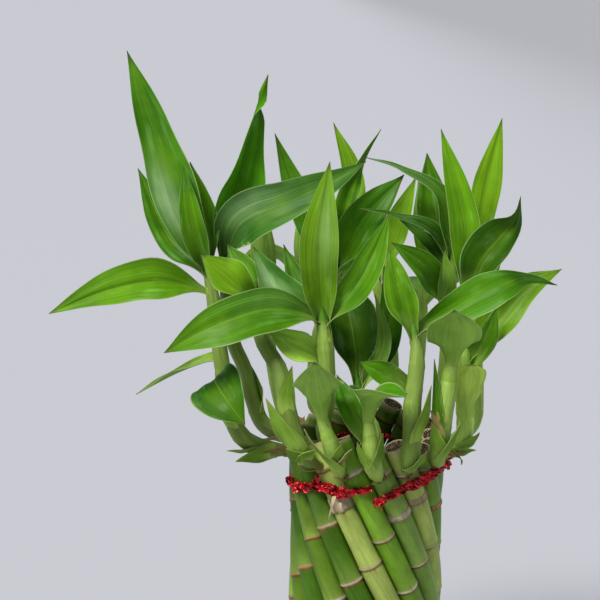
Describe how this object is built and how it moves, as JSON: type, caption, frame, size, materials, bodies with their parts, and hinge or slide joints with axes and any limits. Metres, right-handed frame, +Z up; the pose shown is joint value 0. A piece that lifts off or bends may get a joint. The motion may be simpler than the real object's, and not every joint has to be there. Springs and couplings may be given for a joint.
{
  "type": "lucky bamboo in a bowl",
  "caption": "Ring of leaning green canes tied near the top with red foil ribbon, each with a leafy shoot, standing in pebbles in a round white bowl.",
  "frame": {"origin": "centre of the bowl's flat underside, on the surface that the bowl stands on", "axes": "+Z up along the bundle's axis, -Y towards the front, +X to the right seen from the front"},
  "size_m": [0.2314, 0.1964, 0.3531],
  "materials": {
    "white_glaze": "glossy",
    "pebble_stone": "smooth",
    "cane_green": "satin",
    "red_foil": "crinkled metallic",
    "leaf_green": "satin"
  },
  "bodies": {
    "root": {"bowl": "white_glaze", "pebbles": "pebble_stone", "cane_01": "cane_green", "cane_02": "cane_green", "cane_03": "cane_green", "cane_04": "cane_green", "cane_05": "cane_green", "cane_06": "cane_green", "cane_07": "cane_green", "cane_08": "cane_green", "cane_09": "cane_green", "cane_10": "cane_green", "cane_11": "cane_green", "cane_12": "cane_green", "cane_13": "cane_green", "cane_14": "cane_green", "cane_15": "cane_green", "cane_16": "cane_green", "tie": "red_foil", "shoot_left": "leaf_green", "shoot_left_back": "leaf_green", "shoot_front_left": "leaf_green", "shoot_middle": "leaf_green", "shoot_front_1": "leaf_green", "shoot_front_2": "leaf_green", "shoot_inner": "leaf_green", "shoot_front_3": "leaf_green", "shoot_front_4": "leaf_green", "shoot_right": "leaf_green", "shoot_right_back": "leaf_green", "shoot_back_right": "leaf_green", "shoot_back_left": "leaf_green", "shoot_rear_1": "leaf_green", "shoot_rear_2": "leaf_green", "shoot_rear_3": "leaf_green", "shoot_rear_4": "leaf_green"}
  },
  "joints": []
}
